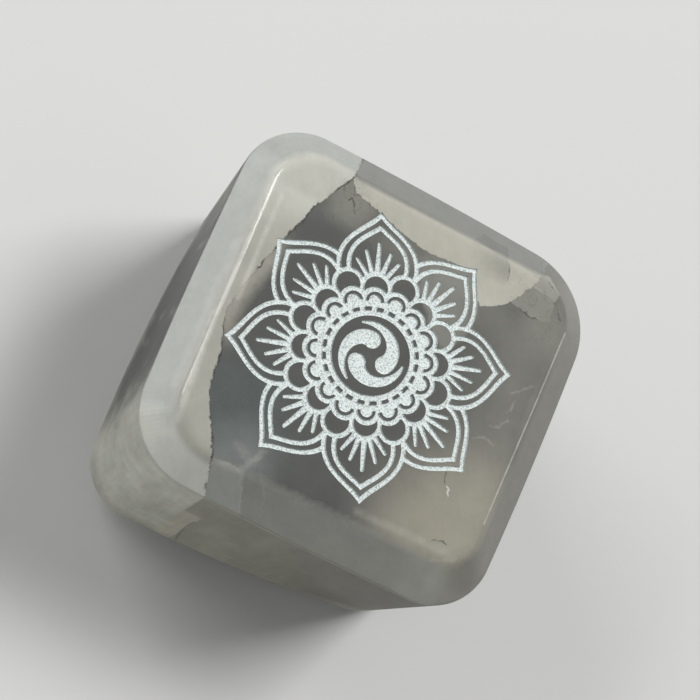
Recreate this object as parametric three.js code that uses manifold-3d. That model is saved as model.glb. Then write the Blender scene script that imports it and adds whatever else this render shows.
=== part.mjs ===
// A palm-sized block of polished selenite, near enough a cube, with broad bevels round its two
// horizontal faces, rounded upright corners and a lotus mandala engraved in its upper face.
// It was cut and polished by hand: its four walls are turned a degree or two out of square and
// bow a little, no two upright corners have quite the same radius, and every edge is worn soft.
// Millimetres, +Z up, resting on z = 0. The origin is the middle of the underside.
import * as THREE from "three";
import { mergeVertices } from "three/addons/utils/BufferGeometryUtils.js";
import Module from "manifold-3d";

const wasm = await Module();
wasm.setup();

// The block. An outline has four walls in turn, right, back, left and front: how far each stands
// from the middle, how many degrees it is turned out of square, and the radius of the corner
// that joins it to the next. Every wall bows outward by as much between its corners.
const HEIGHT = 45;
const BEVEL_DROP = 4.3;
const FACE = {
  reach: [20.7, 20, 20.7, 20],
  turn: [-0.8, -1.5, 1.8, 0.6],
  radii: [5.8, 5.4, 6.4, 5.4],
  bow: 0,
};
const SHOULDER = {
  reach: [24.8, 24.5, 25, 24.6],
  turn: [-1.2, -1.3, 0.9, -1.2],
  radii: [11, 8.5, 9.9, 8.1],
  bow: 0.2,
};
const FOOT = {
  reach: [25.2, 24.4, 24.8, 24.1],
  turn: [-0.2, -1.6, -0.4, 2.4],
  radii: [11, 7.5, 8, 8.8],
  bow: 0.6,
};
// How far the softened edges of a bevel reach, as a share of the bevel
const SOFT_EDGE = 0.12;
const CORNER_STEPS = 8;
const SIDE_STEPS = 4;

// The mandala
const MANDALA_RADIUS = 18.7;
const MANDALA_CENTRE = [-1.1, 0];
const MANDALA_TURN = 18.7;
const ENGRAVING_DEPTH = 0.2;
const PETALS = 8;
const SCALLOPS = 16;
const DASHES = 24;

// Sizes inside the mandala are shares of its radius. An edge of a petal that points along +Y is
// one cubic from the tip to the foot, then a short neck that runs under the lobes, mirrored.
// The first two edges bound the outer line of the petal, the other two its inner line.
const PETAL_EDGES = [
  { cubic: [[0, 1.0], [0.083, 0.888], [0.289, 0.822], [0.292, 0.62]], neck: [0.283, 0.57] },
  { cubic: [[0, 0.953], [0.079, 0.852], [0.267, 0.801], [0.2585, 0.6]], neck: [0.25, 0.56] },
  { cubic: [[0, 0.908], [0.068, 0.843], [0.237, 0.782], [0.22, 0.6]], neck: [0.213, 0.56] },
  { cubic: [[0, 0.866], [0.091, 0.797], [0.203, 0.743], [0.186, 0.6]], neck: [0.18, 0.56] },
];
const PETAL_HEEL = [0.16, 0.47];
const PETAL_STEPS = 8;
// The rays of a petal fan out from one hub: degrees off the petal's axis, length, half widths
const RAY_HUB = 0.46;
const RAY_START = 0.09;
const RAYS = [
  { lean: 0, length: 0.327, base: 0.022, tip: 0.013 },
  { lean: 19, length: 0.279, base: 0.02, tip: 0.012 },
  { lean: 38, length: 0.252, base: 0.019, tip: 0.0115 },
];
// Sixteen lobes and, in front of them, sixteen scallops; every other one lies on a petal's axis
const LOBE_LINE = 0.033;
const ON_PETAL = {
  lobe: { reach: 0.463, radius: 0.082 },
  scallop: { reach: 0.377, line: 0.098, groove: 0.0625, bead: 0.043 },
};
const BETWEEN = {
  lobe: { reach: 0.508, radius: 0.083 },
  scallop: { reach: 0.388, line: 0.101, groove: 0.067, bead: 0.047 },
};
const BACKING_RADIUS = 0.45;
const DASH_BAND = { inner: 0.311, outer: 0.335, halfAngle: 4.2 };
const DISC_RADIUS = 0.272;
// The ornament in the middle is three whirling commas. Each follows a path that swings outward,
// its width falling from the round head to the tail. Sizes are shares of the disc's radius.
const COMMAS = 3;
const COMMA_PATH = { start: 0.4, end: 0.86, swing: 0.9, sweep: 140 };
const COMMA_WIDTH = { head: 0.46, tail: 0.05, fall: 0.8 };
const COMMA_STEPS = 10;

const radians = THREE.MathUtils.degToRad;

function polar(radius, degrees, centre = [0, 0]) {
  const angle = radians(degrees);
  return [centre[0] + radius * Math.cos(angle), centre[1] + radius * Math.sin(angle)];
}

function turned(points, degrees) {
  const cos = Math.cos(radians(degrees));
  const sin = Math.sin(radians(degrees));
  return points.map(([x, y]) => [x * cos - y * sin, x * sin + y * cos]);
}

function arc(centre, radius, from, to, steps) {
  return Array.from({ length: steps + 1 }, (_, i) =>
    polar(radius, from + ((to - from) * i) / steps, centre),
  );
}

function disc(centre, radius, steps) {
  return arc(centre, radius, 0, 360, steps).slice(0, -1);
}

// A band between two radii, from one angle to another
function sector(centre, inner, outer, from, to, steps) {
  return [...arc(centre, outer, from, to, steps), ...arc(centre, inner, to, from, steps)];
}

// An outline part of the way from one to another
function between(from, to, share) {
  const mix = (a, b) => THREE.MathUtils.lerp(a, b, share);
  const each = (key) => from[key].map((value, i) => mix(value, to[key][i]));
  const [reach, turn, radii] = ["reach", "turn", "radii"].map(each);
  return { reach, turn, radii, bow: mix(from.bow, to.bow) };
}

// The points of an outline: four arcs, with the bowed walls between them
function plan({ reach, turn, radii, bow }) {
  const corners = reach.map((distance, i) => {
    const j = (i + 1) % 4;
    const start = 90 * i + turn[i];
    const end = 90 * (i + 1) + turn[j];
    const [ax, ay] = polar(1, start);
    const [bx, by] = polar(1, end);
    const da = distance - radii[i];
    const db = reach[j] - radii[i];
    const cross = ax * by - ay * bx;
    const centre = [(da * by - db * ay) / cross, (ax * db - bx * da) / cross];
    return arc(centre, radii[i], start, end, CORNER_STEPS);
  });
  const points = [];
  corners.forEach((corner, i) => {
    const j = (i + 1) % 4;
    const from = corner[CORNER_STEPS];
    const to = corners[j][0];
    points.push(...corner);
    for (let k = 1; k < SIDE_STEPS; k++) {
      const share = k / SIDE_STEPS;
      const [outX, outY] = polar(4 * bow * share * (1 - share), 90 * (i + 1) + turn[j]);
      const x = THREE.MathUtils.lerp(from[0], to[0], share);
      const y = THREE.MathUtils.lerp(from[1], to[1], share);
      points.push([x + outX, y + outY]);
    }
  });
  return points;
}

// A closed body through level outlines with equal numbers of points, flat at both ends
function loft(levels) {
  const count = levels[0].points.length;
  const positions = levels.flatMap(({ points, z }) => points.flatMap(([x, y]) => [x, y, z]));
  const index = [];
  for (let level = 0; level < levels.length - 1; level++) {
    for (let i = 0; i < count; i++) {
      const a = level * count + i;
      const b = level * count + ((i + 1) % count);
      index.push(a, b, b + count, a, b + count, a + count);
    }
  }
  const last = (levels.length - 1) * count;
  for (let i = 1; i < count - 1; i++) {
    index.push(0, i + 1, i, last, last + i, last + i + 1);
  }
  const geometry = new THREE.BufferGeometry();
  geometry.setAttribute("position", new THREE.Float32BufferAttribute(positions, 3));
  geometry.setIndex(index);
  return geometry;
}

function solidOf(geometry) {
  const bare = new THREE.BufferGeometry();
  bare.setAttribute("position", geometry.getAttribute("position"));
  bare.setIndex(geometry.index);
  const merged = mergeVertices(bare, 1e-4);
  const mesh = new wasm.Mesh({
    numProp: 3,
    vertProperties: merged.attributes.position.array,
    triVerts: new Uint32Array(merged.index.array),
  });
  return new wasm.Manifold(mesh);
}

function geometryOf(solid) {
  const mesh = solid.getMesh();
  const geometry = new THREE.BufferGeometry();
  geometry.setAttribute("position", new THREE.Float32BufferAttribute(mesh.vertProperties, 3));
  geometry.setIndex(Array.from(mesh.triVerts));
  geometry.computeVertexNormals();
  return geometry;
}

// One closed edge of a petal that points along +Y
function petalEdge({ cubic, neck }) {
  const curve = new THREE.CubicBezierCurve(...cubic.map(([x, y]) => new THREE.Vector2(x, y)));
  const right = curve.getPoints(PETAL_STEPS).map(({ x, y }) => [x, y]);
  right.push(neck, PETAL_HEEL);
  const left = right.slice(1).reverse().map(([x, y]) => [-x, y]);
  return [...right, ...left];
}

function ray({ length, base, tip }, lean) {
  const end = arc([0, length - tip], tip, 0, 180, 2);
  const upright = [[base, RAY_START], ...end, [-base, RAY_START]];
  return turned(upright, -lean).map(([x, y]) => [x, y + RAY_HUB]);
}

function petalRays() {
  return RAYS.flatMap((shape) =>
    (shape.lean === 0 ? [0] : [shape.lean, -shape.lean]).map((lean) => ray(shape, lean)),
  );
}

// One comma, as a stroke of falling width along its path
function comma() {
  const { start, end, swing, sweep } = COMMA_PATH;
  const { head, tail, fall } = COMMA_WIDTH;
  const shares = Array.from({ length: COMMA_STEPS + 1 }, (_, i) => i / COMMA_STEPS);
  const path = shares.map((t) => polar(start + (end - start) * t ** swing, sweep * t));
  const heading = (i) => {
    const from = path[Math.max(i - 1, 0)];
    const to = path[Math.min(i + 1, COMMA_STEPS)];
    return THREE.MathUtils.radToDeg(Math.atan2(to[1] - from[1], to[0] - from[0]));
  };
  const half = shares.map((t) => (tail + (head - tail) * (1 - t) ** fall) / 2);
  const outer = path.map((point, i) => polar(half[i], heading(i) - 90, point));
  const inner = path.map((point, i) => polar(half[i], heading(i) + 90, point));
  const round = arc(path[0], half[0], heading(0) + 90, heading(0) + 270, 6).slice(1, -1);
  return [...round, ...outer, ...inner.reverse()];
}

// The mandala as layers laid one over another: each cuts into the stone or leaves it standing
function mandalaLayers() {
  const layers = [];
  const around = (count, points, phase = 0) =>
    Array.from({ length: count }, (_, k) => turned(points, phase + (360 * k) / count));
  const cut = (outlines) => layers.push({ engraved: true, outlines });
  const leave = (outlines) => layers.push({ engraved: false, outlines });
  const step = 360 / PETALS;

  // Four petals lie behind, four in front
  for (const phase of [step, 0]) {
    PETAL_EDGES.forEach((edge, i) => {
      const outlines = around(PETALS / 2, petalEdge(edge), phase);
      (i % 2 === 0 ? cut : leave)(outlines);
    });
    cut(petalRays().flatMap((points) => around(PETALS / 2, points, phase)));
  }

  cut([disc([0, 0], BACKING_RADIUS, 48)]);
  const rows = [
    [ON_PETAL, 0],
    [BETWEEN, step / 2],
  ];
  const ring = (make) =>
    rows.flatMap(([size, phase]) => around(SCALLOPS / 2, make(size), phase));
  cut(ring(({ lobe }) => disc([0, lobe.reach], lobe.radius + LOBE_LINE, 20)));
  leave(ring(({ lobe }) => disc([0, lobe.reach], lobe.radius, 16)));
  cut(ring(({ scallop }) => disc([0, scallop.reach], scallop.line, 20)));
  leave(
    ring(({ scallop }) => {
      const { reach, bead, groove } = scallop;
      return sector([0, reach], bead, groove, -4, 184, 6);
    }),
  );
  const { inner, outer, halfAngle } = DASH_BAND;
  const dash = sector([0, 0], inner, outer, 90 - halfAngle, 90 + halfAngle, 1);
  leave(around(DASHES, dash, 180 / DASHES));
  leave([disc([0, 0], DISC_RADIUS, 48)]);
  const scaled = comma().map(([x, y]) => [x * DISC_RADIUS, y * DISC_RADIUS]);
  cut(around(COMMAS, scaled, 90));
  return layers;
}

// An upright prism over one outline of the mandala, from the engraving's floor to clear above
function prism(outline) {
  const clear = 1;
  const shape = new THREE.Shape(outline.map(([x, y]) => new THREE.Vector2(x, y)));
  const geometry = new THREE.ExtrudeGeometry(shape, {
    depth: ENGRAVING_DEPTH + clear,
    bevelEnabled: false,
  });
  geometry.translate(0, 0, HEIGHT - ENGRAVING_DEPTH);
  return solidOf(geometry);
}

function engraving() {
  const [centreX, centreY] = MANDALA_CENTRE;
  const placed = (points) =>
    turned(points, MANDALA_TURN).map(([x, y]) => [
      x * MANDALA_RADIUS + centreX,
      y * MANDALA_RADIUS + centreY,
    ]);
  let groove = null;
  for (const { engraved, outlines } of mandalaLayers()) {
    for (const outline of outlines) {
      const body = prism(placed(outline));
      if (groove === null) groove = body;
      else groove = engraved ? groove.add(body) : groove.subtract(body);
    }
  }
  return groove;
}

// One level of the block: share 0 is the rim of a flat face, share 1 the edge of the walls
function level(edge, share, z) {
  return { points: plan(between(FACE, edge, share)), z };
}

function block() {
  const shares = [-SOFT_EDGE, SOFT_EDGE, 1 - SOFT_EDGE, 1];
  const rises = [0, SOFT_EDGE, 1 - SOFT_EDGE, 1 + SOFT_EDGE].map((rise) => rise * BEVEL_DROP);
  const below = shares.map((share, i) => level(FOOT, share, rises[i]));
  const above = shares.map((share, i) => level(SHOULDER, share, HEIGHT - rises[i]));
  return loft([...below, ...above.reverse()]);
}

const selenite = new THREE.MeshStandardMaterial({
  color: 0xb4b6b0,
  roughness: 0.2,
  metalness: 0,
});
const geometry = geometryOf(solidOf(block()).subtract(engraving()));
geometry.computeBoundingBox();
const middle = geometry.boundingBox.getCenter(new THREE.Vector3());
geometry.translate(-middle.x, -middle.y, 0);

const cube = new THREE.Mesh(geometry, selenite);
cube.name = "selenite_cube";

const part = new THREE.Group();
part.add(cube);

export default part;
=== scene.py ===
import math

import bpy
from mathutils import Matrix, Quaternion, Vector
from mathutils.geometry import delaunay_2d_cdt


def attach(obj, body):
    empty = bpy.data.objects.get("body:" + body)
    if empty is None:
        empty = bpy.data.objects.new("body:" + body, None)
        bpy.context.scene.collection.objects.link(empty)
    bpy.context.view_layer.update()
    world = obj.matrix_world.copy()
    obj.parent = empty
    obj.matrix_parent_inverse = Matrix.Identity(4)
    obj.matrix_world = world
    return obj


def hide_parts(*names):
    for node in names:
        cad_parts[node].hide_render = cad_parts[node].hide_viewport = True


# A palm-sized block of polished selenite with a lotus mandala engraved in its upper face, lying
# on a pale floor. The block is worked out in millimetres and made in metres.
MM = 0.001

# The block, in millimetres. An outline has four walls in turn, right, back, left and front: how
# far each stands from the middle, how many degrees it is turned out of square, and the radius of
# the corner that joins it to the next. Every wall bows outward by as much between its corners.
HEIGHT = 45.0
BEVEL_DROP = 4.3
SHOULDER_Z = HEIGHT - BEVEL_DROP
FACE = {
    "reach": (20.7, 20.0, 20.7, 20.0),
    "turn": (-0.8, -1.5, 1.8, 0.6),
    "radii": (5.8, 5.4, 6.4, 5.4),
    "bow": 0.0,
}
SHOULDER = {
    "reach": (24.8, 24.5, 25.0, 24.6),
    "turn": (-1.2, -1.3, 0.9, -1.2),
    "radii": (11.0, 8.5, 9.9, 8.1),
    "bow": 0.2,
}
FOOT = {
    "reach": (25.2, 24.4, 24.8, 24.1),
    "turn": (-0.2, -1.6, -0.4, 2.4),
    "radii": (11.0, 7.5, 8.0, 8.8),
    "bow": 0.6,
}
RIM_FILLET = 2.5
EDGE_FILLET = 0.7
CORNER_STEPS = 24
SIDE_STEPS = 14
FILLET_STEPS = 7
WALL_ROWS = 12
BEVEL_ROWS = 3

# The slots that the block's materials have, and how close two points of the engraved face may be
POLISHED, FROSTED, SIDE = 0, 1, 2
MERGE_DISTANCE = 1e-5
MATCH_DIGITS = 4

# The mandala, with sizes as shares of its radius
MANDALA_RADIUS = 18.7
MANDALA_CENTRE = (-1.1, 0.0)
MANDALA_TURN = 18.7
ENGRAVING_DEPTH = 0.2
PETALS = 8
DASHES = 24
PETAL_EDGES = (
    (((0, 1.0), (0.083, 0.888), (0.289, 0.822), (0.292, 0.62)), (0.283, 0.57)),
    (((0, 0.953), (0.079, 0.852), (0.267, 0.801), (0.2585, 0.6)), (0.25, 0.56)),
    (((0, 0.908), (0.068, 0.843), (0.237, 0.782), (0.22, 0.6)), (0.213, 0.56)),
    (((0, 0.866), (0.091, 0.797), (0.203, 0.743), (0.186, 0.6)), (0.18, 0.56)),
)
PETAL_HEEL = (0.16, 0.47)
PETAL_STEPS = 18
RAY_HUB = 0.46
RAY_START = 0.09
RAYS = (
    (0, 0.327, 0.022, 0.013),
    (19, 0.279, 0.020, 0.012),
    (38, 0.252, 0.019, 0.0115),
)
LOBE_LINE = 0.033
ON_PETAL = {"lobe": (0.463, 0.082), "scallop": (0.377, 0.098, 0.0625, 0.043)}
BETWEEN = {"lobe": (0.508, 0.083), "scallop": (0.388, 0.101, 0.067, 0.047)}
BACKING_RADIUS = 0.45
DASH_BAND = (0.311, 0.335, 4.2)
DISC_RADIUS = 0.272
COMMAS = 3
COMMA_PATH = {"start": 0.4, "end": 0.86, "swing": 0.9, "sweep": 140}
COMMA_WIDTH = {"head": 0.46, "tail": 0.05, "fall": 0.8}
COMMA_STEPS = 20


def polar(radius, degrees, centre=(0.0, 0.0)):
    angle = math.radians(degrees)
    return (centre[0] + radius * math.cos(angle), centre[1] + radius * math.sin(angle))


def turned(points, degrees):
    cos, sin = math.cos(math.radians(degrees)), math.sin(math.radians(degrees))
    return [(x * cos - y * sin, x * sin + y * cos) for x, y in points]


def arc(centre, radius, start, end, steps):
    return [polar(radius, start + (end - start) * i / steps, centre) for i in range(steps + 1)]


def disc(centre, radius, steps):
    return arc(centre, radius, 0, 360, steps)[:-1]


def sector(centre, inner, outer, start, end, steps):
    return arc(centre, outer, start, end, steps) + arc(centre, inner, end, start, steps)


def lerp(a, b, share):
    return a + (b - a) * share


def cubic(points, steps):
    p = [Vector(point) for point in points]
    out = []
    for i in range(steps + 1):
        t = i / steps
        s = 1 - t
        q = p[0] * s**3 + p[1] * 3 * s * s * t + p[2] * 3 * s * t * t + p[3] * t**3
        out.append((q.x, q.y))
    return out


def petal_edge(edge):
    curve, neck = edge
    right = cubic(curve, PETAL_STEPS) + [neck, PETAL_HEEL]
    return right + [(-x, y) for x, y in reversed(right[1:])]


def ray(lean, length, base, tip):
    end = arc((0, length - tip), tip, 0, 180, 8)
    upright = [(base, RAY_START), *end, (-base, RAY_START)]
    return [(x, y + RAY_HUB) for x, y in turned(upright, -lean)]


def petal_rays():
    out = []
    for lean, *sizes in RAYS:
        out += [ray(side * lean, *sizes) for side in ((1, -1) if lean else (1,))]
    return out


def comma():
    """One comma as a stroke of falling width along a path that swings outward."""
    shares = [i / COMMA_STEPS for i in range(COMMA_STEPS + 1)]
    start, end = COMMA_PATH["start"], COMMA_PATH["end"]
    head, tail = COMMA_WIDTH["head"], COMMA_WIDTH["tail"]
    path = [
        polar(lerp(start, end, t ** COMMA_PATH["swing"]), COMMA_PATH["sweep"] * t)
        for t in shares
    ]
    half = [(tail + (head - tail) * (1 - t) ** COMMA_WIDTH["fall"]) / 2 for t in shares]

    def heading(i):
        a, b = path[max(i - 1, 0)], path[min(i + 1, COMMA_STEPS)]
        return math.degrees(math.atan2(b[1] - a[1], b[0] - a[0]))

    outer = [polar(half[i], heading(i) - 90, point) for i, point in enumerate(path)]
    inner = [polar(half[i], heading(i) + 90, point) for i, point in enumerate(path)]
    end_round = arc(path[0], half[0], heading(0) + 90, heading(0) + 270, 12)[1:-1]
    return end_round + outer + inner[::-1]


def scallop_band(sizes):
    centre, _, outer, inner = sizes["scallop"]
    return sector((0, centre), inner, outer, -4, 184, 18)


def mandala_layers():
    """Outlines in the order they are laid over one another, each with whether it is engraved."""
    layers = []

    def around(count, points, phase=0.0):
        return [turned(points, phase + 360 * k / count) for k in range(count)]

    def lay(engraved, outlines):
        layers.extend((engraved, outline) for outline in outlines)

    def ring(make):
        return around(PETALS, make(ON_PETAL)) + around(PETALS, make(BETWEEN), 180 / PETALS)

    for phase in (360 / PETALS, 0):
        for i, edge in enumerate(PETAL_EDGES):
            lay(i % 2 == 0, around(PETALS // 2, petal_edge(edge), phase))
        for points in petal_rays():
            lay(True, around(PETALS // 2, points, phase))
    lay(True, [disc((0, 0), BACKING_RADIUS, 90)])
    lay(True, ring(lambda s: disc((0, s["lobe"][0]), s["lobe"][1] + LOBE_LINE, 40)))
    lay(False, ring(lambda s: disc((0, s["lobe"][0]), s["lobe"][1], 36)))
    lay(True, ring(lambda s: disc((0, s["scallop"][0]), s["scallop"][1], 36)))
    lay(False, ring(scallop_band))
    inner, outer, half_angle = DASH_BAND
    dash = sector((0, 0), inner, outer, 90 - half_angle, 90 + half_angle, 4)
    lay(False, around(DASHES, dash, 180 / DASHES))
    lay(False, [disc((0, 0), DISC_RADIUS, 90)])
    whirl = [(x * DISC_RADIUS, y * DISC_RADIUS) for x, y in comma()]
    lay(True, around(COMMAS, whirl, 90))
    return layers


def between(start, end, share):
    """An outline part of the way from one to another."""
    mixed = {"bow": lerp(start["bow"], end["bow"], share)}
    for key in ("reach", "turn", "radii"):
        mixed[key] = [lerp(a, b, share) for a, b in zip(start[key], end[key])]
    return mixed


def plan(outline):
    """The points of an outline: four arcs, with the bowed walls between them."""
    reach, turn, radii = outline["reach"], outline["turn"], outline["radii"]
    corners = []
    for i in range(4):
        j = (i + 1) % 4
        start, end = 90 * i + turn[i], 90 * (i + 1) + turn[j]
        (ax, ay), (bx, by) = polar(1, start), polar(1, end)
        da, db = reach[i] - radii[i], reach[j] - radii[i]
        cross = ax * by - ay * bx
        centre = ((da * by - db * ay) / cross, (ax * db - bx * da) / cross)
        corners.append(arc(centre, radii[i], start, end, CORNER_STEPS))
    points = []
    for i, corner in enumerate(corners):
        j = (i + 1) % 4
        start, end = corner[-1], corners[j][0]
        points += corner
        for k in range(1, SIDE_STEPS):
            share = k / SIDE_STEPS
            middle = (lerp(start[0], end[0], share), lerp(start[1], end[1], share))
            out = 4 * outline["bow"] * share * (1 - share)
            points.append(polar(out, 90 * (i + 1) + turn[j], middle))
    return points


def fillet(before, corner, after, radius, steps):
    """Points of an arc that rounds a corner of a profile off."""
    c = Vector(corner)
    u, v = (Vector(before) - c).normalized(), (Vector(after) - c).normalized()
    half = u.angle(v) / 2
    centre = c + (u + v).normalized() * radius / math.sin(half)
    start, end = c + u * radius / math.tan(half), c + v * radius / math.tan(half)
    sweep = (start - centre).angle(end - centre)
    out = []
    for i in range(steps + 1):
        t = i / steps
        a, b = math.sin((1 - t) * sweep), math.sin(t * sweep)
        q = centre + ((start - centre) * a + (end - centre) * b) / math.sin(sweep)
        out.append((q.x, q.y))
    return out


def profile():
    """(share, z) up the side of the block: share 0 is a face's rim and share 1 the wall."""
    width = FOOT["reach"][0] - FACE["reach"][0]
    corners = [(0, 0), (width, BEVEL_DROP), (width, SHOULDER_Z), (0, HEIGHT)]
    ends = [(-width, 0), *corners, (-width, HEIGHT)]
    radii = [RIM_FILLET, EDGE_FILLET, EDGE_FILLET, RIM_FILLET]
    rounds = [
        fillet(ends[i], corner, ends[i + 2], radii[i], FILLET_STEPS)
        for i, corner in enumerate(corners)
    ]
    points = []
    for i, rounding in enumerate(rounds):
        points += rounding
        if i < 3:
            rows = WALL_ROWS if i == 1 else BEVEL_ROWS
            a, b = rounding[-1], rounds[i + 1][0]
            points += [
                (lerp(a[0], b[0], k / rows), lerp(a[1], b[1], k / rows)) for k in range(1, rows)
            ]
    return [(out / width, z) for out, z in points]


def level_outline(share, z):
    climb = (z - BEVEL_DROP) / (HEIGHT - 2 * BEVEL_DROP)
    wall = between(FOOT, SHOULDER, min(max(climb, 0), 1))
    return plan(between(FACE, wall, share))


def placed_layers():
    out = []
    for engraved, outline in mandala_layers():
        points = [
            (x * MANDALA_RADIUS + MANDALA_CENTRE[0], y * MANDALA_RADIUS + MANDALA_CENTRE[1])
            for x, y in turned(outline, MANDALA_TURN)
        ]
        out.append((engraved, points))
    return out


def signed_area(points):
    return sum(a[0] * b[1] - b[0] * a[1] for a, b in zip(points, points[1:] + points[:1])) / 2


def engraved_face(rim):
    """The upper face as triangles: its points, and each triangle with whether it is engraved."""
    layers = [(False, rim), *placed_layers()]
    coords, loops = [], []
    for _, points in layers:
        loop = list(range(len(coords), len(coords) + len(points)))
        loops.append(loop if signed_area(points) > 0 else loop[::-1])
        coords += [Vector(p) for p in points]
    points, _, faces, _, _, sources = delaunay_2d_cdt(coords, [], loops, 1, MERGE_DISTANCE)
    triangles = [(tuple(face), layers[max(source)][0]) for face, source in zip(faces, sources)]
    return points, triangles


def add_engraved_face(verts, faces, finishes, rim_start, rim):
    """Adds the upper face, with the engraved parts sunk and walls round them."""
    points, triangles = engraved_face(rim)
    top, floor = {}, {}

    def match(point):
        return (round(point[0], MATCH_DIGITS), round(point[1], MATCH_DIGITS))

    lookup = {match(point): rim_start + i for i, point in enumerate(rim)}

    def on_top(i):
        if i not in top:
            if match(points[i]) in lookup:
                top[i] = lookup[match(points[i])]
            else:
                top[i] = len(verts)
                verts.append((points[i].x, points[i].y, HEIGHT))
        return top[i]

    def on_floor(i):
        if i not in floor:
            floor[i] = len(verts)
            verts.append((points[i].x, points[i].y, HEIGHT - ENGRAVING_DEPTH))
        return floor[i]

    edges = {}
    for corners, engraved in triangles:
        place = on_floor if engraved else on_top
        faces.append(tuple(place(i) for i in corners))
        finishes.append(FROSTED if engraved else POLISHED)
        for a, b in zip(corners, corners[1:] + corners[:1]):
            edges[(a, b)] = engraved
    for (a, b), engraved in edges.items():
        if engraved and edges.get((b, a)) is False:
            faces.append((on_floor(b), on_floor(a), on_top(a), on_top(b)))
            finishes.append(FROSTED)


def make_object(name, verts, faces, finishes, materials):
    mesh = bpy.data.meshes.new(name)
    mesh.from_pydata([tuple(c * MM for c in v) for v in verts], [], faces)
    for material in materials:
        mesh.materials.append(material)
    mesh.polygons.foreach_set("material_index", finishes)
    mesh.update()
    obj = bpy.data.objects.new(name, mesh)
    bpy.context.scene.collection.objects.link(obj)
    return obj


def make_block(levels, middle, materials):
    count = len(levels[0][0])
    verts = [(x, y, z) for outline, z in levels for x, y in outline]
    faces = []
    for level in range(len(levels) - 1):
        for i in range(count):
            a, b = level * count + i, level * count + (i + 1) % count
            faces.append((a, b, b + count, a + count))
    on_wall = [BEVEL_DROP < levels[i // count][1] < SHOULDER_Z for i in range(len(faces))]
    finishes = [SIDE if wall else POLISHED for wall in on_wall]
    faces.append(tuple(range(count))[::-1])
    finishes.append(POLISHED)
    last = (len(levels) - 1) * count
    add_engraved_face(verts, faces, finishes, last, levels[-1][0])
    verts = [(x - middle[0], y - middle[1], z) for x, y, z in verts]
    return make_object("cut_block", verts, faces, finishes, materials)


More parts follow.
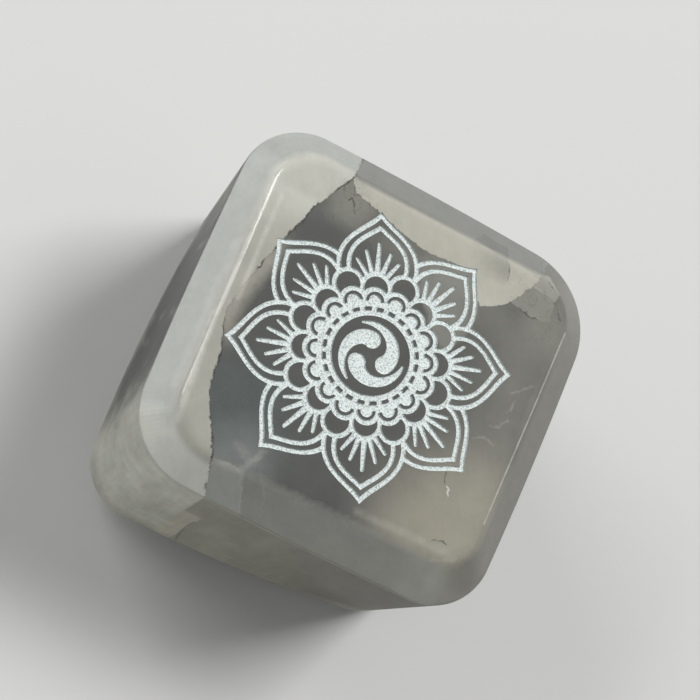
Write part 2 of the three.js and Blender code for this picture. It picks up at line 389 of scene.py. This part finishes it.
class Graph:
    """Builds a material's nodes. Every value may be a number or another node's output."""

    def __init__(self, name):
        self.material = bpy.data.materials.new(name)
        self.material.use_nodes = True
        self.tree = self.material.node_tree
        self.shader = self.tree.nodes["Principled BSDF"]

    def set(self, socket, value):
        if isinstance(value, bpy.types.NodeSocket):
            self.tree.links.new(value, socket)
        else:
            socket.default_value = value

    def node(self, kind, inputs, **settings):
        made = self.tree.nodes.new("ShaderNode" + kind)
        for key, value in settings.items():
            setattr(made, key, value)
        for key, value in inputs.items():
            self.set(made.inputs[key], value)
        return made

    def math(self, operation, a, b=None, c=None):
        inputs = {i: value for i, value in enumerate((a, b, c)) if value is not None}
        return self.node("Math", inputs, operation=operation).outputs[0]

    def vector(self, operation, a, b=None):
        inputs = {i: value for i, value in enumerate((a, b)) if value is not None}
        made = self.node("VectorMath", inputs, operation=operation)
        return made.outputs["Value" if operation in ("DOT_PRODUCT", "LENGTH") else "Vector"]

    def rise(self, value, start, end, low=0.0, high=1.0, smooth=True):
        """low up to start, high from end on. A smooth rise limits itself at both ends."""
        kind = "SMOOTHSTEP" if smooth else "LINEAR"
        if not smooth:
            value = self.math("MAXIMUM", value, min(start, end))
            value = self.math("MINIMUM", value, max(start, end))
        inputs = {"Value": value, 1: start, 2: end, 3: low, 4: high}
        made = self.node("MapRange", inputs, interpolation_type=kind, clamp=False)
        return made.outputs[0]

    def mix(self, share, a, b, blend="MIX"):
        made = self.node("Mix", {}, data_type="RGBA", blend_type=blend)
        for key, value in ((0, share), (6, a), (7, b)):
            self.set(made.inputs[key], value)
        return made.outputs[2]

    def noise(self, place, scale, detail=3.0, roughness=0.5):
        inputs = {"Vector": place, "Scale": scale, "Detail": detail, "Roughness": roughness}
        return self.node("TexNoise", inputs).outputs["Fac"]

    def bump(self, height, distance, strength):
        inputs = {"Height": height, "Distance": distance, "Strength": strength}
        return self.node("Bump", inputs).outputs["Normal"]

    def find_place(self, middle, ragged=0.0):
        """Where the surface is, in millimetres as the block is laid out, with ragged plan axes."""
        where = self.node("TexCoord", {}).outputs["Object"]
        made = self.node("VectorMath", {0: where, "Scale": 1 / MM}, operation="SCALE")
        self.place = self.vector("ADD", made.outputs["Vector"], (*middle, 0))
        self.z = self.along(self.place, (0, 0, 1))
        inputs = {"Vector": self.place, "Scale": 1.1, "Detail": 5.0, "Roughness": 0.62}
        drift = self.node("TexNoise", inputs).outputs["Color"]
        drift = self.node("SeparateColor", {0: drift}).outputs
        jogs = [self.math("MULTIPLY_ADD", drift[i], ragged, -ragged / 2) for i in (0, 1)]
        jog = self.node("CombineXYZ", {0: jogs[0], 1: jogs[1]}).outputs[0]
        self.even_plan = self.vector("MULTIPLY", self.place, (1, 1, 0))
        self.plan = self.vector("ADD", self.even_plan, jog)
        self.x = self.along(self.plan, (1, 0, 0))
        self.y = self.along(self.plan, (0, 1, 0))

    def curve(self, value, points):
        """A length worked out from another one, by a line through points."""
        span = BORDER_SPAN
        made = self.node("FloatCurve", {"Value": self.rise(value, -span, span, smooth=False)})
        line = made.mapping.curves[0].points
        spots = [((a + span) / (2 * span), (b + span) / (2 * span)) for a, b in points]
        line[0].location, line[-1].location = spots[0], spots[-1]
        for spot in spots[1:-1]:
            line.new(*spot)
        for point in line:
            point.handle_type = "VECTOR"
        made.mapping.update()
        return self.math("MULTIPLY_ADD", made.outputs[0], 2 * span, -span)

    def beyond(self, a, b):
        """How far a place lies to the left of the line from a to b in plan."""
        length = math.dist(a, b)
        nx, ny = (a[1] - b[1]) / length, (b[0] - a[0]) / length
        along = self.math("MULTIPLY_ADD", self.x, nx, -(a[0] * nx + a[1] * ny))
        return self.math("MULTIPLY_ADD", self.y, ny, along)

    def patch(self, corners, soft):
        """1 inside a convex patch, whose corners are given anticlockwise, and 0 outside."""
        depth = None
        for a, b in zip(corners, corners[1:] + corners[:1]):
            side = self.beyond(a, b)
            depth = side if depth is None else self.math("MINIMUM", depth, side)
        return self.rise(depth, -soft, soft)

    def line(self, path, width, soft=0.5, plan=None):
        """1 on a line, falling to 0 at its width, in the ragged plan or in another one."""
        nearest = None
        plan = plan or self.plan
        for a, b in zip(path, path[1:]):
            run = (b[0] - a[0], b[1] - a[1], 0)
            square = run[0] ** 2 + run[1] ** 2
            apart = self.vector("SUBTRACT", plan, (*a, 0))
            share = self.vector("DOT_PRODUCT", apart, tuple(c / square for c in run))
            share = self.rise(share, 0, 1, smooth=False)
            made = self.node("VectorMath", {0: run, "Scale": share}, operation="SCALE")
            apart = self.vector("LENGTH", self.vector("SUBTRACT", apart, made.outputs["Vector"]))
            nearest = apart if nearest is None else self.math("MINIMUM", nearest, apart)
        return self.rise(nearest, width * (1 - soft), width, 1, 0)

    def blob(self, centre, inner, outer, plan=None):
        """1 near a point, falling to 0 further off, in the ragged plan or in another one."""
        apart = self.vector("SUBTRACT", plan or self.plan, (*centre, 0))
        return self.rise(self.vector("LENGTH", apart), inner, outer, 1, 0)

    def along(self, place, way):
        """How far a place lies along a way from the origin, times the way's length."""
        return self.vector("DOT_PRODUCT", place, way)

    def both(self, a, b):
        return self.math("MULTIPLY", a, b)

    def shaded(self, tone, shade):
        """A tone made darker or lighter by a number near 1."""
        grey = self.node("CombineColor", {0: shade, 1: shade, 2: shade}).outputs[0]
        return self.mix(1.0, tone, grey, "MULTIPLY")

    def marked(self, tone, lines, plan, where, pale):
        """A tone with pale marks on it, each given as its path, half width and strength."""
        for path, width, strength in lines:
            mark = self.both(self.line(path, width, 1.0, plan), strength)
            tone = self.mix(self.both(mark, where), tone, pale)
        return tone

    def finish_stone(self, tone, roughness, shine):
        """Gives the shader its tone and a slightly uneven, partly see-through surface."""
        inputs = self.shader.inputs
        self.set(inputs["Base Color"], tone)
        self.set(inputs["Normal"], self.bump(self.noise(self.place, 0.1, 2), 0.1 * MM, 0.2))
        self.set(inputs["Roughness"], roughness)
        self.set(inputs["Specular IOR Level"], shine)
        self.set(inputs["Transmission Weight"], TRANSMISSION)
        self.set(inputs["IOR"], REFRACTION)
        return self.material


def tint(red, green, blue):
    """A colour from display values of 0 to 255."""
    return (*((value / 255) ** 2.2 for value in (red, green, blue)), 1.0)


# Tones of the upper face and the bevels
CLEAR = tint(105, 106, 103)
CLEAR_COOL = tint(105, 111, 110)
HAZE = tint(132, 131, 125)
MID_HAZE = tint(150, 150, 143)
PALE_CORNER = tint(172, 168, 154)
UPPER_RIGHT = tint(158, 158, 150)
TOP_RIGHT = tint(174, 173, 164)
VEIL = tint(150, 154, 153)
CORNER_VEIL = tint(156, 154, 146)
MILKY = tint(194, 197, 191)
# Painted light: the milky bevel made lighter towards the front, where it lies in shade
MILKY_PAINTED_LIGHT = tint(242, 243, 233)
CREAM = tint(208, 206, 192)
CREAM_LEFT = tint(196, 195, 183)
CREAM_BRIGHT = tint(220, 220, 209)
# A darker cream for the right end of the cream stone
CREAM_DARKER = tint(177, 176, 166)
INNER_BAND = tint(192, 189, 176)
BACK_BEVEL = tint(147, 149, 143)
BACK_DIM = tint(134, 136, 131)
FRONT_BEVEL = tint(168, 170, 162)
RIGHT_BEVEL = tint(144, 143, 135)
# Tone of the painted highlight streaks
PALE = tint(214, 212, 202)
HIGHLIGHT_PAINT = tint(242, 241, 232)
CHIP_PALE = tint(225, 225, 218)
EDGE_DARK = tint(60, 60, 58)
CRACK_DARK = tint(60, 60, 56)
HAIR_DARK = tint(84, 84, 80)

# Tones of the walls
WALL_GREY = tint(88, 88, 86)
# Painted shade for the back part of the left wall
LEFT_WALL_PAINTED_SHADE = tint(70, 70, 69)
WALL_BROWN = tint(150, 148, 135)
WALL_DARK = tint(90, 88, 80)
WALL_TAN = tint(184, 181, 164)
WALL_MILKY = tint(238, 239, 225)
WALL_CRACK = tint(70, 66, 58)
RIGHT_WALL = tint(156, 156, 148)
BACK_WALL = tint(164, 164, 156)
# Painted glow at the foot, where light comes through the stone
FOOT_PAINTED_GLOW = tint(206, 204, 192)

# Tones of the frosted lines
FROST_DIM = tint(141, 148, 147)
FROST_BRIGHT = tint(205, 213, 211)

# Half the span, in millimetres, that the two border lines below are drawn over
BORDER_SPAN = 26.0
# Where the milky stone at the left ends, as (y, x), and where the cream stone at the back
# begins, as (x, y), in millimetres
MILKY_END = (
    (-26, -12.2), (-24.3, -12.3), (-22, -13.4), (-20.5, -14.0), (-19.8, -14.2), (-18, -15.1),
    (-16, -16.2), (-14, -17.2), (-12, -18.0), (-10, -18.1), (-8, -18.3), (-6.5, -18.8),
    (-5, -19.4), (-3, -19.8), (-1.5, -19.6), (1, -19.2), (3, -18.6), (5.5, -18.0), (7.5, -17.4),
    (10, -16.6), (12, -15.8), (14, -15.3), (15.5, -14.6), (17, -13.9), (18, -13.3), (20, -12.2),
    (22, -11.9), (26, -11.3),
)
CREAM_START = (
    (-26, 20), (-12.2, 20), (-11, 18.3), (-9, 18), (-7.2, 17.5), (-5, 16.8), (-2, 16), (0, 15.7),
    (3, 15.9), (6, 16.3), (7.4, 15.6), (8.4, 13.8), (9.3, 12.4), (11, 13.2), (12.2, 14),
    (12.8, 14.6), (13.3, 15.5), (14, 16.8), (14.8, 18), (15.2, 19), (15.6, 20), (16.2, 22),
    (17, 25), (26, 26),
)
# Patches that differ from the stone round them, each with its corners in millimetres
MID_PATCH = ((0, 15.9), (0.3, 12), (5, 6), (7.5, 4.5), (9.5, 9), (9.3, 12.4), (7, 16))
UPPER_RIGHT_PATCH = ((12.6, 14.8), (17.5, 14.2), (18.7, 14.8), (18.3, 17.6), (14.8, 18))
TOP_RIGHT_PATCH = ((14.8, 18), (18.3, 17.6), (18.6, 19), (17, 20.8), (15.6, 20.5))
DARKER_CREAM_PATCH = ((2, 20.6), (2, 15), (10.4, 15), (11.5, 17.1), (11.2, 18.6), (10.2, 20.6))
BACK_PATCH = ((5.5, 20.4), (10.6, 20.4), (10.3, 22.1), (6.8, 22.3))
FRONT_PATCH = ((-13.9, -20.2), (-12.4, -24.6), (-7.4, -24.6), (-9.8, -20.0))
# How far either way, in millimetres, the edge of a patch and of the two borders softens
PATCH_EDGE = 0.12
BORDER_EDGE = 0.07
# Soft veils in the clear stone: the middle of each, where it begins and ends to fade, and its
# strength and tone
SOFT_VEILS = (
    ((10, 11.5), 1, 4.5, 0.7, HAZE),
    ((-2, 15), 1.5, 6.5, 0.75, HAZE),
    ((-11, 17.8), 1.5, 5.5, 0.85, CORNER_VEIL),
    ((19.5, 13.5), 1, 6.5, 0.6, CORNER_VEIL),
    ((-11, -19), 1, 7, 0.6, VEIL),
)
# Pale wisps, and one painted reflection along the front rim near the right corner, each with its
# half width and strength
PALE_LINES = (
    (((-13.5, -20.9), (-10.4, -20.4), (-9.2, -18.6), (-8.6, -17.0)), 0.7, 0.4),
    (((-11.8, -17.6), (-9.4, -18.9)), 0.9, 0.25),
    (((-10.2, -20.2), (-8.6, -22.6), (-7.6, -24.4)), 0.2, 0.3),
    (((-7.8, -19.8), (-6.0, -21.5), (-5.0, -24.0)), 0.2, 0.18),
    (((17.5, 3.9), (18.6, 4.7), (19.8, 5.9)), 0.25, 0.3),
    (((17.9, 1.2), (18.4, 3.2)), 0.2, 0.25),
    (((16.5, -1.4), (17.6, -0.9), (18.3, 0.2)), 0.3, 0.3),
    (((15.0, -3.7), (16.5, -3.0), (17.8, -3.4)), 0.2, 0.25),
    # Painted reflection along the front rim near the right corner
    (((16, -20.2), (18.9, -18.6)), 0.25, 0.25),
    (((-12.1, 20.3), (-10.6, 19.2)), 0.5, 0.4),
    (((14.8, 18.1), (16.6, 18.0), (18.2, 17.6)), 0.2, 0.35),
)
# Painted highlights: soft straight streaks along the left bevel and beside the front and back rims
PAINTED_HIGHLIGHT_STREAKS = (
    (((-21.15, 15.3), (-21.0, 6), (-20.8, -4)), 0.5, 0.8),
    (((-19.6, 13.5), (-19.4, 6), (-19.2, -1)), 0.6, 0.5),
    (((-21.0, -4), (-20.5, -9), (-19.7, -18)), 0.75, 0.55),
    (((-22.1, 6), (-22.0, -4), (-21.6, -14)), 0.8, 0.22),
    (((5, -18.7), (12, -18.5), (18.4, -18.6)), 0.9, 0.15),
    (((-10, 19.8), (0, 19.9), (8, 19.9), (14, 19.7)), 0.4, 0.2),
)
# Streaks in the left wall, as (y, z), and marks in the front wall, as (x, z)
LEFT_WALL_STREAKS = (
    (((-15.2, 41), (-14.2, 35), (-13.2, 30)), 1.1, 0.3),
    (((-5.0, 40.5), (-4.2, 37), (-3.6, 34.5)), 1.3, 0.22),
    (((5.3, 40.5), (6.0, 36), (7.1, 31)), 1.0, 0.34),
    (((-1.9, 27.5), (-1.5, 23)), 1.2, 0.26),
    (((-5.2, 22), (-4.0, 16.5), (-3.0, 12)), 0.9, 0.18),
    (((-14.4, 15), (-13.0, 11.5)), 1.6, 0.22),
    (((0.3, 13), (1.3, 9.5), (2.6, 6.5)), 1.4, 0.34),
    (((-10.5, 33), (-9.8, 28)), 1.1, 0.14),
)
FRONT_WALL_MARKS = (
    (((-2.2, 37), (-1.4, 30), (-1.9, 26)), 1.3, 0.16),
    (((0.6, 31), (1.6, 24), (1.2, 18)), 1.0, 0.12),
    (((-8.6, 7.6), (-7.4, 6.6)), 0.6, 0.4),
    (((-12.3, 43), (-12.4, 30), (-12.2, 25)), 0.25, 0.35),
)
FRONT_WALL_CRACK = ((-9.9, 24), (-10.0, 19), (-9.75, 14), (-9.45, 10.5), (-9.0, 6))
# A painted highlight line along the right rim, and a small chip beside the mandala
RIM_HIGHLIGHT_LINE = ((21.25, 14.5), (21.05, 5), (20.8, -4), (20.55, -13))
CHIP = ((14.25, -10.9), (14.6, -11.3), (14.45, -11.5), (14.8, -11.9))
# Dark hair cracks and their half width
CRACK_WIDTH = 0.1
CRACKS = (
    ((-12.9, 18.9), (-12.5, 17.4), (-11.7, 17.0), (-11.3, 17.6), (-10.9, 16.9), (-10.2, 15.8)),
    ((-11.6, 18.9), (-11.3, 18.0), (-10.4, 18.3), (-9.2, 17.9), (-7.6, 17.6)),
    ((-13.0, 14.7), (-12.3, 13.6)),
    ((10.9, 19.2), (11.3, 18.0), (11.5, 17.2)),
    ((16.7, 19.9), (17.6, 19.1), (18.5, 18.7)),
    ((18.5, 17.6), (19.1, 16.6), (19.8, 15.6)),
    ((12.7, 14.8), (15.0, 14.3), (17.6, 14.1)),
    ((13.4, -9.3), (14.0, -10.6)),
    ((15.0, -17.9), (16.1, -17.4), (17.0, -17.5)),
)
FIBRE_ANGLE = -26.5
# Surface and inside of the stone
FACE_RAGGED, WALL_RAGGED = 1.1, 0.6
FACE_ROUGHNESS, WALL_ROUGHNESS, FROST_ROUGHNESS = 0.18, 0.5, 0.9
FACE_SHINE, WALL_SHINE = 0.35, 0.2
TRANSMISSION = 0.5
REFRACTION = 1.52


def clear_zones(g, bevel):
    """Clear stone, hazier to the right and pale in the right front corner."""
    clear = g.mix(g.blob((-14.5, -15), 2, 12), CLEAR, CLEAR_COOL)
    tone = g.mix(g.rise(g.x, 5, 18), clear, HAZE)
    tone = g.mix(g.patch(MID_PATCH, 0.5), tone, MID_HAZE)
    for centre, inner, outer, strength, veil in SOFT_VEILS:
        tone = g.mix(g.both(g.blob(centre, inner, outer), strength), tone, veil)
    tone = g.mix(g.blob((18, -17), 5, 16.5), tone, PALE_CORNER)
    tone = g.mix(g.rise(g.y, -19.2, -21.0), tone, FRONT_BEVEL)
    tone = g.mix(g.both(bevel, g.rise(g.x, 17, 21)), tone, RIGHT_BEVEL)
    tone = g.mix(g.both(g.patch(FRONT_PATCH, PATCH_EDGE), 0.6), tone, MILKY)
    tone = g.mix(g.patch(UPPER_RIGHT_PATCH, PATCH_EDGE), tone, UPPER_RIGHT)
    return g.mix(g.patch(TOP_RIGHT_PATCH, PATCH_EDGE), tone, TOP_RIGHT)


def cream_layer(g, tone, bevel):
    """The cream stone along the back, darker near its right end and greyer on the bevel."""
    above = g.math("SUBTRACT", g.y, g.curve(g.x, CREAM_START))
    cream = g.rise(above, -BORDER_EDGE, BORDER_EDGE)
    # The cream is darker near its right end
    darker_cream = g.both(g.patch(DARKER_CREAM_PATCH, PATCH_EDGE), g.rise(g.x, 4.5, 11, 0, 0.9))
    darker_cream = g.both(darker_cream, g.rise(g.y, 15.8, 18.2))
    even_y = g.along(g.place, (0, 1, 0))
    at_back = g.math("MAXIMUM", bevel, g.rise(even_y, 19.5, 20.8))
    pale = g.mix(at_back, g.mix(darker_cream, CREAM, CREAM_DARKER), BACK_BEVEL)
    pale = g.mix(g.patch(BACK_PATCH, 0.2), pale, BACK_DIM)
    return g.mix(cream, tone, pale)


def milky_side(g, tone, face):
    """The milky stone at the left, which ends in a ragged line with a dark and a tan edge."""
    past = g.math("SUBTRACT", g.x, g.curve(g.y, MILKY_END))
    milk_face = g.mix(g.rise(g.y, 4, 19), CREAM_LEFT, CREAM_BRIGHT)
    # Painted light on the milky bevel towards the front
    milk_bevel = g.mix(g.rise(g.y, -15, -20), MILKY, MILKY_PAINTED_LIGHT)
    tone = g.mix(g.rise(past, 0.05, -0.05), tone, g.mix(face, milk_bevel, milk_face))
    inner_band = g.both(g.rise(past, 0.3, 2.6, 0.8, 0), g.rise(past, -0.05, 0.05))
    inner_band = g.both(inner_band, g.both(g.blob((-19.3, 1), 4, 10), face))
    tone = g.mix(inner_band, tone, INNER_BAND)
    edge = g.rise(g.noise(g.place, 0.3, 2), 0.4, 0.55, 0.15, 0.8)
    edge = g.both(g.rise(g.math("ABSOLUTE", past), 0.04, 0.2, 1, 0), edge)
    return g.mix(edge, tone, EDGE_DARK)


def face_fibres(g, tone):
    """Fibres run all one way through the stone and show as faint streaks."""
    cos, sin = math.cos(math.radians(FIBRE_ANGLE)), math.sin(math.radians(FIBRE_ANGLE))
    ways = (2.2 * cos, -2.2 * sin, 0), (0.14 * sin, 0.14 * cos, 0), (0, 0, 0.6)
    drawn = {i: g.along(g.place, way) for i, way in enumerate(ways)}
    fine = g.noise(g.node("CombineXYZ", drawn).outputs[0], 1.0, 4, 0.6)
    streak = g.rise(fine, 0.3, 0.7, 0.98, 1.02, False)
    cloud = g.rise(g.noise(g.place, 0.35, 6, 0.68), 0.3, 0.7, 0.93, 1.07, False)
    return g.shaded(tone, g.both(streak, cloud))


def fine_marks(g, tone, face):
    """Hair cracks, wisps with one painted reflection, painted highlight streaks, the painted
    highlight along the right rim and the chip.
    """
    cracks = None
    for path in CRACKS:
        crack = g.line(path, CRACK_WIDTH)
        cracks = crack if cracks is None else g.math("MAXIMUM", cracks, crack)
    patchy = g.rise(g.noise(g.place, 0.7, 4, 0.6), 0.3, 0.68)
    broken = g.both(g.rise(patchy, 0.3, 0.7, 0.1, 0.6, smooth=False), face)
    tone = g.mix(g.both(cracks, broken), tone, CRACK_DARK)
    # Pale wisps, one of them a painted reflection along the front rim
    tone = g.marked(tone, PALE_LINES, g.plan, g.rise(patchy, 0, 1, 0.4, 1), PALE)
    # Painted highlights along the left bevel and beside the front and back rims
    tone = g.marked(tone, PAINTED_HIGHLIGHT_STREAKS, g.even_plan, g.rise(patchy, 0, 1, 0.6, 1), HIGHLIGHT_PAINT)
    hairs = g.math("ABSOLUTE", g.math("SUBTRACT", g.noise(g.place, 0.45, 4, 0.6), 0.5))
    where = g.math("MAXIMUM", g.blob((17, 16), 2, 7.5), g.blob((-11, 17.5), 1, 4.5))
    hairs = g.both(g.rise(hairs, 0.002, 0.009, 0.4, 0), where)
    tone = g.mix(hairs, tone, HAIR_DARK)
    # Painted highlight along the right rim
    rim_highlight = g.line(RIM_HIGHLIGHT_LINE, 0.17, 0.6, g.even_plan)
    tone = g.mix(g.both(rim_highlight, g.rise(patchy, 0, 1, 0.55, 0.95)), tone, PALE)
    return g.mix(g.line(CHIP, 0.15, 0.4), tone, CHIP_PALE)


def stone_top(middle):
    """The upper face and the bevels; the underside looks like the upper face."""
    g = Graph("selenite_top")
    g.find_place(middle, FACE_RAGGED)
    height = g.math("MAXIMUM", g.z, g.math("SUBTRACT", HEIGHT, g.z))
    face = g.rise(height, HEIGHT - 1.4, HEIGHT - 0.2)
    bevel = g.rise(face, 0, 1, 1, 0, smooth=False)
    tone = clear_zones(g, bevel)
    tone = cream_layer(g, tone, bevel)
    tone = milky_side(g, tone, face)
    tone = face_fibres(g, tone)
    tone = fine_marks(g, tone, face)
    return g.finish_stone(tone, FACE_ROUGHNESS, FACE_SHINE)


def wall_zones(g, x, y, z):
    """The tones of the four walls, and the broad noise that shades them."""
    front = g.mix(g.rise(x, -8, 18), WALL_BROWN, WALL_DARK)
    strip = g.both(g.rise(g.x, -9.7, -9.9), g.rise(z, 29, 27))
    front = g.mix(strip, front, WALL_TAN)
    # Painted light: the front wall is lightened, more so towards its foot, against the floor's
    # shadow
    front = g.shaded(front, g.rise(z, 34, 6, 1.4, 2.0, False))
    at_right, at_back = g.rise(x, 20.5, 24), g.rise(y, 18, 21)
    tone = g.mix(at_right, front, RIGHT_WALL)
    tone = g.mix(at_back, tone, BACK_WALL)
    veils = g.noise(g.vector("MULTIPLY", g.place, (0.11, 0.11, 0.05)), 1.0, 5, 0.66)
    veils = g.both(g.rise(veils, 0.44, 0.62, 0, 0.6), g.math("MAXIMUM", at_right, at_back))
    tone = g.mix(veils, tone, WALL_MILKY)
    # Further from the photographed walls, the edges of the zones wander more
    broad = g.noise(g.vector("MULTIPLY", g.place, (0.16, 0.16, 0.07)), 1.0, 4, 0.6)
    wander = g.rise(broad, 0.3, 0.7, -3, 3, False)
    past = g.math("SUBTRACT", g.x, g.curve(g.y, MILKY_END))
    past = g.math("ADD", past, g.both(wander, g.rise(y, -14, 4)))
    past = g.both(past, g.rise(y, -14, 10, 1, 0.12))
    tone = g.mix(g.rise(past, 0.15, -0.15), tone, WALL_MILKY)
    along = g.math("ADD", y, wander)
    # Painted shade: the left wall darker towards the back, against the floor's reflection
    left = g.mix(g.rise(along, 4, 18), WALL_GREY, LEFT_WALL_PAINTED_SHADE)
    left = g.mix(g.rise(along, -10, -22, 0, 0.8), left, WALL_MILKY)
    left = g.mix(g.rise(along, 9, 21, 0, 0.45), left, WALL_MILKY)
    tone = g.mix(g.rise(x, -20, -23), tone, left)
    low = g.math("ADD", z, wander)
    # Painted glow along the foot of the walls
    return g.mix(g.rise(low, 12, 3.5, 0, 0.6), tone, FOOT_PAINTED_GLOW), broad


def wall_fibres(g, tone, broad):
    """Fibres, clouds and broad bands that run up and down the walls."""
    drawn = g.noise(g.vector("MULTIPLY", g.place, (1.1, 1.1, 0.07)), 1.0, 4, 0.62)
    cloud = g.rise(g.noise(g.place, 0.35, 6, 0.68), 0.3, 0.7, 0.9, 1.1, False)
    bands = g.rise(broad, 0.32, 0.68, 0.84, 1.18, False)
    shade = g.both(bands, g.both(g.rise(drawn, 0.3, 0.7, 0.94, 1.07, False), cloud))
    return g.shaded(tone, shade)


def wall_marks(g, tone, x, y, z):
    """The streaks in the left wall; the marks, flecks, crack and painted highlight along the top
    edge of the front wall.
    """
    left_plan = g.node("CombineXYZ", {0: y, 1: z}).outputs[0]
    patchy = g.rise(g.noise(g.place, 0.45, 3), 0.38, 0.6, 0.15, 0.8)
    on_left = g.both(g.rise(x, -20, -23), patchy)
    tone = g.marked(tone, LEFT_WALL_STREAKS, left_plan, on_left, PALE)
    front_plan = g.node("CombineXYZ", {0: x, 1: z}).outputs[0]
    in_front = g.rise(y, -20, -23)
    tone = g.marked(tone, FRONT_WALL_MARKS, front_plan, in_front, PALE)
    flecks = g.rise(g.noise(g.place, 0.9, 5, 0.7), 0.46, 0.6, 0, 0.55)
    flecks = g.both(flecks, g.blob((5, 9.8), 1.5, 5.5, front_plan))
    tone = g.mix(g.both(flecks, in_front), tone, PALE)
    crack = g.both(g.line(FRONT_WALL_CRACK, 0.25, 1.0, front_plan), 0.5)
    tone = g.mix(g.both(crack, in_front), tone, WALL_CRACK)
    # Painted highlight along the front wall's top edge, below the bevel
    shoulder_highlight = g.rise(z, SHOULDER_Z - 0.7, SHOULDER_Z - 0.3, 0, 0.45)
    return g.mix(g.both(shoulder_highlight, in_front), tone, PALE)


def stone_walls(middle):
    """The four walls: grey at the left, brownish in front and veiled at the right and back, with
    painted shade and light on the left and front walls and a painted glow at the foot.
    """
    g = Graph("selenite_walls")
    g.find_place(middle, WALL_RAGGED)
    x, y, z = (g.along(g.place, way) for way in ((1, 0, 0), (0, 1, 0), (0, 0, 1)))
    tone, broad = wall_zones(g, x, y, z)
    tone = wall_fibres(g, tone, broad)
    tone = wall_marks(g, tone, x, y, z)
    return g.finish_stone(tone, WALL_ROUGHNESS, WALL_SHINE)


def frosting(middle):
    """The white grain of the cut lines."""
    g = Graph("frosting")
    g.find_place(middle)
    grain = g.noise(g.place, 4.2, 3, 0.75)
    tone = g.mix(g.rise(grain, 0.36, 0.54), FROST_DIM, FROST_BRIGHT)
    g.set(g.shader.inputs["Base Color"], tone)
    g.set(g.shader.inputs["Roughness"], FROST_ROUGHNESS)
    g.set(g.shader.inputs["Normal"], g.bump(grain, 0.08 * MM, 0.8))
    return g.material


# The room, in metres: a pale floor, an even sky and a few soft panels of light. Each panel has
# its place, the point it faces, its width, height and power in watts, and whether the stone
# mirrors it.
FLOOR_TONE = (0.52, 0.52, 0.51, 1)
FLOOR_ROUGHNESS = 0.8
FLOOR_HALF = 3.0
FLOOR_GAP = 0.0001
SKY_STRENGTH = 0.32
PANELS = {
    "key": ((0.62, 0.68, 1.5), (0, 0, 0.04), 0.6, 0.6, 28, False),
    "low_left": ((-0.65, 0.2, 0.17), (0, 0, 0.045), 0.9, 0.3, 2.2, True),
    "rim_light": ((-0.64, 0.33, 0.71), (0, 0, 0.045), 0.5, 0.11, 2.8, True),
}
# The camera looks down at the photograph's angle, turned about its own axis as the photograph is
CAMERA_AIM = (-0.0038, -0.0006, 0.045)
CAMERA_RANGE = 0.2199
CAMERA_AZIMUTH = -29.5
CAMERA_ELEVATION = 70.46
CAMERA_ROLL = 54.55
CAMERA_LENS = 91.1
SENSOR_WIDTH = 36


def add_floor():
    g = Graph("floor")
    g.set(g.shader.inputs["Base Color"], FLOOR_TONE)
    g.set(g.shader.inputs["Roughness"], FLOOR_ROUGHNESS)
    mesh = bpy.data.meshes.new("floor")
    signs = ((-1, -1), (1, -1), (1, 1), (-1, 1))
    corners = [(x * FLOOR_HALF, y * FLOOR_HALF, -FLOOR_GAP) for x, y in signs]
    mesh.from_pydata(corners, [], [(0, 1, 2, 3)])
    mesh.materials.append(g.material)
    floor = bpy.data.objects.new("floor", mesh)
    bpy.context.scene.collection.objects.link(floor)
    return floor


def add_sky():
    world = bpy.data.worlds.new("studio")
    bpy.context.scene.world = world
    world.use_nodes = True
    sky = world.node_tree.nodes["Background"].inputs
    sky["Color"].default_value = (1, 1, 1, 1)
    sky["Strength"].default_value = SKY_STRENGTH


def add_panel(name, place, aim, width, height, power, mirrored):
    data = bpy.data.lights.new(name, "AREA")
    data.shape = "RECTANGLE"
    data.size, data.size_y = width, height
    data.energy = power
    obj = bpy.data.objects.new(name, data)
    obj.location = place
    obj.rotation_euler = (Vector(aim) - Vector(place)).to_track_quat("-Z", "Y").to_euler()
    obj.visible_glossy = obj.visible_transmission = mirrored
    bpy.context.scene.collection.objects.link(obj)


def add_camera(middle):
    azimuth, elevation = math.radians(CAMERA_AZIMUTH), math.radians(CAMERA_ELEVATION)
    level = math.cos(elevation)
    back = Vector((math.sin(azimuth) * level, -math.cos(azimuth) * level, math.sin(elevation)))
    aim = Vector(CAMERA_AIM) - Vector((*middle, 0)) * MM
    camera = bpy.data.objects.new("camera", bpy.data.cameras.new("camera"))
    camera.data.lens = CAMERA_LENS
    camera.data.sensor_width = SENSOR_WIDTH
    camera.location = aim + back * CAMERA_RANGE
    camera.rotation_mode = "QUATERNION"
    turn = Quaternion(back, math.radians(CAMERA_ROLL))
    camera.rotation_quaternion = turn @ (-back).to_track_quat("-Z", "Y")
    bpy.context.scene.collection.objects.link(camera)
    bpy.context.scene.camera = camera


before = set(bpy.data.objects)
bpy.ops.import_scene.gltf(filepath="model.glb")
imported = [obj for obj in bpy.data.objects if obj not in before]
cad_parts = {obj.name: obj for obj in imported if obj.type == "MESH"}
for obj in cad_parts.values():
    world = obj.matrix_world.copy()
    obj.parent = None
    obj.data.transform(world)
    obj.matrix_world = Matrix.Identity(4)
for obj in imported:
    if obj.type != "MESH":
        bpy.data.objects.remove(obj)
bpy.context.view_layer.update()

levels = [(level_outline(share, z), z) for share, z in profile()]
low = [min(p[axis] for outline, _ in levels for p in outline) for axis in (0, 1)]
high = [max(p[axis] for outline, _ in levels for p in outline) for axis in (0, 1)]
middle = [(a + b) / 2 for a, b in zip(low, high)]
block = make_block(levels, middle, [stone_top(middle), frosting(middle), stone_walls(middle)])
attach(block, "root")
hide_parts("selenite_cube")

add_floor()
add_sky()
for name, values in PANELS.items():
    add_panel(name, *values)
add_camera(middle)
bpy.context.scene.view_settings.view_transform = "Standard"
